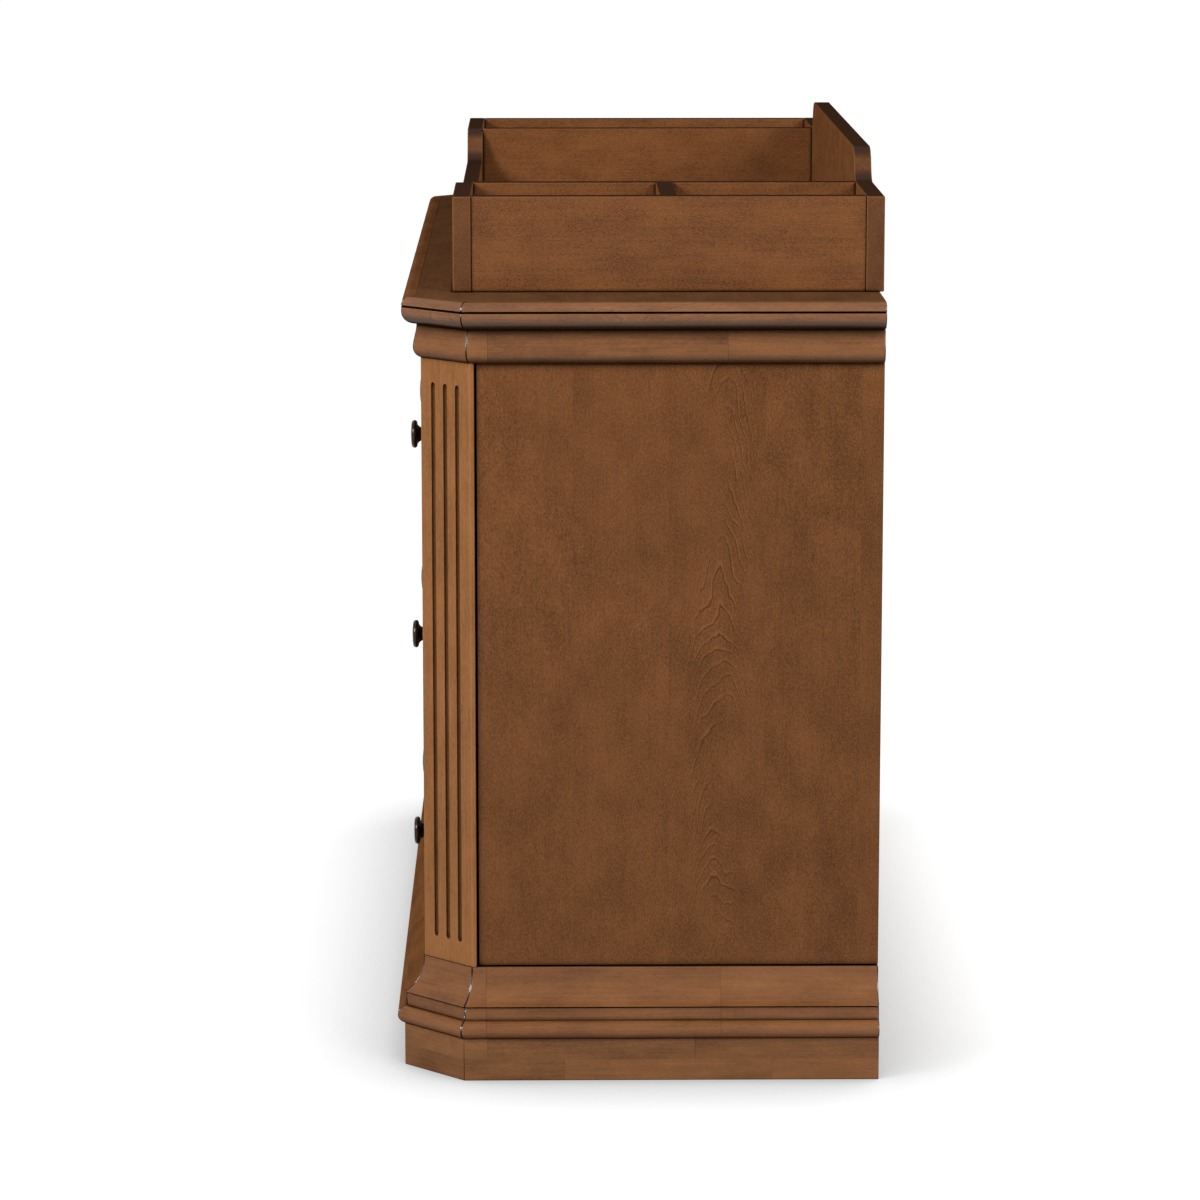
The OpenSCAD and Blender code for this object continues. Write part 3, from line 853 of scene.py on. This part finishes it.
@dataclass
class Mouldings:
    """Crown, base moulding and plinth, mitred round the canted corners."""

    crown_ease_mm: float = 0.6
    base_ease_mm: float = 0.4
    plinth_ease_mm: float = 0.6
    mitre_ease_mm: float = 1.0
    plinth_mitre_ease_mm: float = 0.4

    def build(self) -> Iterable[bpy.types.Object]:
        """Dresses the mouldings and the plinth.

        Returns:
            The pieces, one by one.
        """
        yield Timber("crown_moulding", CROWN_STOCK, ease_mm=self.crown_ease_mm, shortest_mm=1.1,
                     mitre_ease_mm=self.mitre_ease_mm).piece()
        yield Timber("base_moulding", BLOCK_STOCK, ease_mm=self.base_ease_mm, shortest_mm=0.9,
                     mitre_ease_mm=self.mitre_ease_mm).piece()
        yield Timber("plinth_boards", PLINTH_STOCK, ease_mm=self.plinth_ease_mm,
                     mitre_ease_mm=self.plinth_mitre_ease_mm).piece()


@dataclass
class Case:
    """Sides, fluted corner posts, face frame and everything behind them."""

    ease_mm: float = 0.8
    post_ease_mm: float = 1.2
    post_shortest_mm: float = 20.0
    hidden: tuple[str, ...] = (
        "upper_frame", "upper_rear_rail", "top_cleats", "centre_partition", "back_panel", "bottom_panel",
        "lower_rear_rail", "glue_blocks", "runner_cleats")

    def build(self) -> Iterable[bpy.types.Object]:
        """Dresses the case.

        Returns:
            The pieces, one by one.
        """
        for side in SIDES:
            yield Timber(f"side_panel_{side}", PANEL_VENEER, ease_mm=0.3).piece()
            yield Timber(f"corner_post_{side}", POST_STOCK, ease_mm=self.post_ease_mm,
                         shortest_mm=self.post_shortest_mm, ease_steps=3, sharp_deg=35.0).piece()
        for node in ("face_stiles", "drawer_rails"):
            yield Timber(node, CASE_STOCK, ease_mm=self.ease_mm).piece()
        # The lower frame shows as a narrow step over the base moulding, so it is stained too, and the
        # stain's painted corner shade turns the step dark.
        yield Timber("lower_frame", CASE_STOCK, Slot.INNER, ease_mm=self.ease_mm).piece()
        for node in self.hidden:
            yield Timber(node, INNER_STOCK, Slot.INNER, ease_mm=self.ease_mm).piece()


@dataclass
class Knobs:
    """Two turned knobs with their screws."""

    node: str
    segments: int = 56
    cove_steps: int = 9
    rim_steps: int = 15
    dome_steps: int = 8
    foot_share: float = 0.53
    waist_share: float = 0.42
    waist_height_share: float = 0.32
    face_share: float = 0.8
    rim_share: float = 0.21
    foot_h_mm: float = 1.5
    dome_mm: float = 1.0
    screw_mm: float = 4.0
    head_mm: float = 8.8
    head_h_mm: float = 2.5
    head_round_mm: float = 0.7
    head_flat_share: float = 0.8
    head_wear: float = 0.4
    drive_share: float = 0.35
    drive_rim_share: float = 0.4
    recess_mm: float = 1.2
    lip_mm: float = 0.35
    sharp_deg: float = 42.0

    def profile(self, radius: float, length: float) -> list[tuple[float, float, float]]:
        """Draws half of the knob's outline.

        Args:
            radius: of the head.
            length: from the drawer front to the middle of the face.

        Returns:
            Radius, height and wear of each point, from the foot's edge to the tip.
        """
        foot = self.foot_share * radius
        waist = self.waist_share * radius
        face = self.face_share * radius
        foot_h, dome, lip = self.foot_h_mm * MM, self.dome_mm * MM, self.lip_mm * MM
        waist_z, rim = self.waist_height_share * length, self.rim_share * radius
        under = length - dome - 2 * rim
        points = [(foot - lip, 0.0, 0.0), (foot, lip, 0.5), (foot, foot_h - lip, 0.5),
                  (foot - lip, foot_h, 0.2)]
        # The foot's cove, the neck's flare, the rim's half round and the domed face.
        quarter = [math.radians(90 * i / self.cove_steps) for i in range(1, self.cove_steps + 1)]
        points += [(foot - (foot - waist) * math.sin(a),
                    foot_h + (waist_z - foot_h) * (1 - math.cos(a)), 0.0) for a in quarter[1:]]
        points += [(waist + (face - waist) * (1 - math.cos(a)),
                    waist_z + (under - waist_z) * math.sin(a), 0.0) for a in quarter]
        half = [math.radians(180 * i / self.rim_steps - 90) for i in range(1, self.rim_steps + 1)]
        points += [(face + (radius - face) * math.cos(a), under + rim * (1 + math.sin(a)),
                    max(0.0, math.cos(a)) ** 2) for a in half]
        shares = [i / self.dome_steps for i in range(self.dome_steps - 1, -1, -1)]
        return points + [(face * share, length - dome * share ** 2, 0.0) for share in shares]

    def piece(self) -> bpy.types.Object:
        """Turns both knobs on a lathe and adds the screws behind them.

        Returns:
            The piece, on its drawer's body.
        """
        low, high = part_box(self.node)
        face_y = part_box(self.node.replace("knobs", "front"))[0].y
        radius = (high.z - low.z) / 2
        depth = face_y - high.y
        head_low = depth + self.head_h_mm * MM
        recess = depth + self.recess_mm * MM
        thin, wide = self.screw_mm * MM / 2, self.head_mm * MM / 2
        shank = [(thin, head_low, 0.0), (thin, 0.0, 0.0)]
        worn = self.head_wear
        head = [(0.0, recess, 0.0), (wide * self.drive_share, recess, 0.0),
                (wide * self.drive_rim_share, depth, worn), (wide * self.head_flat_share, depth, worn),
                (wide, depth + self.head_round_mm * MM, worn), (wide, head_low, 0.0), (0.0, head_low, 0.0)]
        bm = bmesh.new()
        wear = bm.verts.layers.float.new("wear")
        for x in (low.x + radius, high.x - radius):
            foot = Vector((x, face_y, (high.z + low.z) / 2))
            for outline in (self.profile(radius, face_y - low.y), shank, head):
                self.turn(bm, wear, foot, outline)
        bmesh.ops.remove_doubles(bm, verts=bm.verts, dist=WELD)
        bmesh.ops.recalc_face_normals(bm, faces=bm.faces)
        made = smooth_object(bm, self.node + "_turned", OilRubbedBronze(), self.sharp_deg)
        return place_piece(made, self.node, Slot.BRONZE)

    def turn(self, bm: bmesh.types.BMesh, wear: bmesh.types.BMLayerItem, foot: Vector,
             outline: list[tuple[float, float, float]]) -> None:
        """Revolves an outline about a line that leaves the drawer front at right angles.

        Args:
            bm: the mesh to add to.
            wear: its vertex layer for how far the black is rubbed off.
            foot: where the axis meets the drawer front.
            outline: radius, height and wear of each point.
        """
        rings = []
        for r, h, rubbed in outline:
            ring = []
            for k in range(self.segments):
                turn = 2 * math.pi * k / self.segments
                spot = foot + Vector((r * math.cos(turn), -h, r * math.sin(turn)))
                vert = bm.verts.new(spot)
                vert[wear] = rubbed
                ring.append(vert)
            rings.append(ring)
        for lower, upper in zip(rings, rings[1:]):
            for k in range(self.segments):
                n = (k + 1) % self.segments
                bm.faces.new((lower[k], lower[n], upper[n], upper[k]))
        for ring, r in ((rings[0], outline[0][0]), (rings[-1], outline[-1][0])):
            if r > 0:
                bm.faces.new(ring)


@dataclass
class Drawer:
    """One drawer: front, box, knobs and the runner members that it carries."""

    row: str
    side: str
    front_ease_mm: float = 1.2
    box_ease_mm: float = 0.8

    def build(self) -> Iterable[bpy.types.Object]:
        """Dresses the drawer. Its runner members come with all the runners.

        Returns:
            The pieces, one by one.
        """
        place = f"{self.row}_{self.side}"
        yield Timber(f"front_{place}", CASE_STOCK, ease_mm=self.front_ease_mm, shortest_mm=8.0).piece()
        yield Timber(f"box_{place}", INNER_STOCK, Slot.INNER, ease_mm=self.box_ease_mm,
                     shortest_mm=8.0).piece()
        yield Knobs(f"knobs_{place}").piece()


@dataclass
class Runners:
    """All telescopic runners. Their CAD nodes have the right shape, so they only get their steel."""

    start: str = "runner_"

    def build(self) -> Iterable[bpy.types.Object]:
        """Gives the runner nodes their steel.

        Returns:
            The pieces, one by one.
        """
        for name, node in sorted(frame["nodes"].items()):
            if name.startswith(self.start) and name != "runner_cleats":
                node.data.materials.clear()
                node.data.materials.append(finish_material(ZincPlatedSteel()))
                yield node


@dataclass
class Tray:
    """The loose tray on the top."""

    rail_ease_mm: float = 1.3
    board_ease_mm: float = 0.9

    def build(self) -> Iterable[bpy.types.Object]:
        """Dresses the tray.

        Returns:
            The pieces, one by one.
        """
        for node in ("tray_front_rail", "tray_back_rail"):
            yield Timber(node, TRAY_STOCK, ease_mm=self.rail_ease_mm, ease_steps=3).piece()
        for node in ("tray_end_boards", "tray_partitions", "tray_divider"):
            yield Timber(node, TRAY_STOCK, ease_mm=self.board_ease_mm,
                         mitre_ease_mm=self.board_ease_mm).piece()


@dataclass
class Studio:
    """Floor, soft light and the camera, which stands where the photograph was taken.

    The camera has no lens shift, because other views would keep it. A lamp has a name, its direction
    from +X toward +Y and its rise in degrees, and its level.
    """

    floor_reach: float = 60.0
    eye: tuple[float, float, float] = (5.4013, -0.1041, 1.4023)
    pitch_deg: float = 10.337
    yaw_deg: float = 0.73
    lens_mm: float = 132.34
    sensor_mm: float = 36.0
    room: str = "#ffffff"
    horizon_light: float = 0.24
    zenith_light: float = 0.06
    aim: tuple[float, float, float] = (0.3, 0.0, 0.55)
    distance: float = 5.0
    softbox: float = 1.6
    lamps: tuple[tuple[str, float, float, float], ...] = (
        ("left_softbox", -52.0, 30.0, 0.91), ("right_softbox", 35.0, 25.0, 0.505),
        ("back_softbox", 140.0, 18.0, 0.5))

    def build(self) -> Iterable[bpy.types.Object]:
        """Sets up the floor, lamps, camera and room.

        Returns:
            The pieces, one by one.
        """
        bpy.context.scene.view_settings.view_transform = "Standard"
        yield self.floor()
        for name, way_deg, rise_deg, level in self.lamps:
            yield self.lamp(name, way_deg, rise_deg, level)
        yield self.camera()
        self.world()

    def floor(self) -> bpy.types.Object:
        """Lays the floor just under the plinth.

        Returns:
            The floor.
        """
        bm = bmesh.new()
        r = self.floor_reach
        bm.faces.new([bm.verts.new((x, y, 0.0)) for x, y in ((-r, -r), (r, -r), (r, r), (-r, r))])
        mesh = bpy.data.meshes.new("studio_floor")
        bm.to_mesh(mesh)
        bm.free()
        mesh.materials.append(finish_material(PaintedFloor()))
        made = bpy.data.objects.new("studio_floor", mesh)
        bpy.context.scene.collection.objects.link(made)
        return made

    def lamp(self, name: str, way_deg: float, rise_deg: float, level: float) -> bpy.types.Object:
        """Hangs a square softbox.

        Args:
            name: what the lamp is called.
            way_deg: its direction from +X toward +Y, seen from above.
            rise_deg: its height as an angle.
            level: the light on a board that faces it, where 1 shows the board's colour as it is written.

        Returns:
            The lamp.
        """
        way, rise = math.radians(way_deg), math.radians(rise_deg)
        flat = math.cos(rise)
        outward = Vector((flat * math.cos(way), flat * math.sin(way), math.sin(rise)))
        light = bpy.data.lights.new(name, "AREA")
        light.size = self.softbox
        light.energy = level * (math.pi * self.distance) ** 2
        made = bpy.data.objects.new(name, light)
        made.location = Vector(self.aim) + self.distance * outward
        made.rotation_mode = "QUATERNION"
        made.rotation_quaternion = (-outward).to_track_quat("-Z", "Y")
        bpy.context.scene.collection.objects.link(made)
        return made

    def camera(self) -> bpy.types.Object:
        """Sets up the camera.

        Returns:
            The camera.
        """
        data = bpy.data.cameras.new("portrait_camera")
        data.lens = self.lens_mm
        data.sensor_width = self.sensor_mm
        data.clip_start, data.clip_end = 0.1, 200.0
        made = bpy.data.objects.new("portrait_camera", data)
        pitch, yaw = math.radians(self.pitch_deg), math.radians(self.yaw_deg)
        flat = math.cos(pitch)
        ahead = Vector((-flat * math.cos(yaw), flat * math.sin(yaw), -math.sin(pitch)))
        made.location = self.eye
        made.rotation_mode = "QUATERNION"
        made.rotation_quaternion = ahead.to_track_quat("-Z", "Y")
        bpy.context.scene.collection.objects.link(made)
        bpy.context.scene.camera = made
        return made

    def world(self) -> None:
        """Lights the room softly from all round. What the camera sees of it is white."""
        world = bpy.data.worlds.new("studio_room")
        world.use_nodes = True
        world.node_tree.nodes.clear()
        add = partial(add_node, world.node_tree)
        height = add("SeparateXYZ", (add("TexCoord")["Generated"],))[2]
        room = add("MapRange", (height, 0.0, 1.0, self.horizon_light, self.zenith_light))[0]
        strength = add("MapRange", (seen_directly(add), 0.0, 1.0, room, 1.0))[0]
        glow = add("Background", {"Color": linear(self.room), "Strength": strength})[0]
        add("OutputWorld", (glow,))
        bpy.context.scene.world = world


def main() -> None:
    logging.basicConfig(level=logging.INFO, format="%(name)s: %(message)s")
    drawers = [Drawer(row, side) for row in ROWS for side in SIDES]
    parts = [Top(), Mouldings(), Case(), *drawers, Runners(), Tray(), Studio()]
    for part in parts:
        for piece in part.build():
            count = len(piece.data.polygons) if piece.type == "MESH" else 0
            LOG.info("%s: %s, %d faces", type(part).__name__, piece.name, count)
    bpy.context.view_layer.update()


if __name__ == "__main__":
    main()
